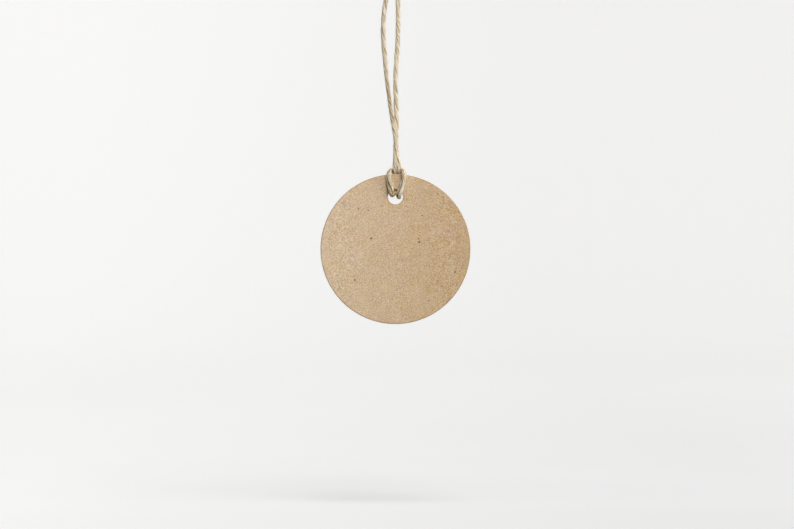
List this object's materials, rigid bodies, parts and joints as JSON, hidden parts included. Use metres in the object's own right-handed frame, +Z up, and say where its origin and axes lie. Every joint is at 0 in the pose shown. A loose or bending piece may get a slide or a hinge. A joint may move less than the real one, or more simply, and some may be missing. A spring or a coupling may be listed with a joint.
{
  "type": "gift tag",
  "caption": "Round kraft-board gift tag with a punched hole, hung on a twine loop that is tied through the hole in a lark's head hitch and knotted at its end.",
  "frame": {"origin": "middle of the twine's end knot, where the tag is held up", "axes": "+Z up along the hanging twine, +Y out of the card's back, +X to the right seen from the card's front"},
  "size_m": [0.05, 0.0068, 0.1406],
  "materials": {
    "kraft_board": "matt uncoated kraft board with fine fibre flecks",
    "twine": "soft natural two-ply twine with a few loose fibres"
  },
  "bodies": {
    "hanger": {"end_knot": "twine", "tail_left": "twine", "tail_right": "twine"},
    "legs": {"leg_left": "twine", "leg_right": "twine"},
    "neck": {"neck_left": "twine", "neck_right": "twine"},
    "tag": {"tag_card": "kraft_board", "twine_hitch": "twine"}
  },
  "joints": [
    {"name": "twine_swing", "type": "hinge", "parent": "hanger", "child": "legs", "pos_m": [0, 0, 0], "axis": [0, -1, 0], "range_deg": [-60, 60]},
    {"name": "tag_swivel", "type": "hinge", "parent": "legs", "child": "neck", "pos_m": [0, 0, -0.06255], "axis": [0, 0, 1], "range_deg": [-180, 180]},
    {"name": "tag_flap", "type": "hinge", "parent": "neck", "child": "tag", "pos_m": [0, 0, -0.0701], "axis": [1, 0, 0], "range_deg": [-75, 75]}
  ]
}
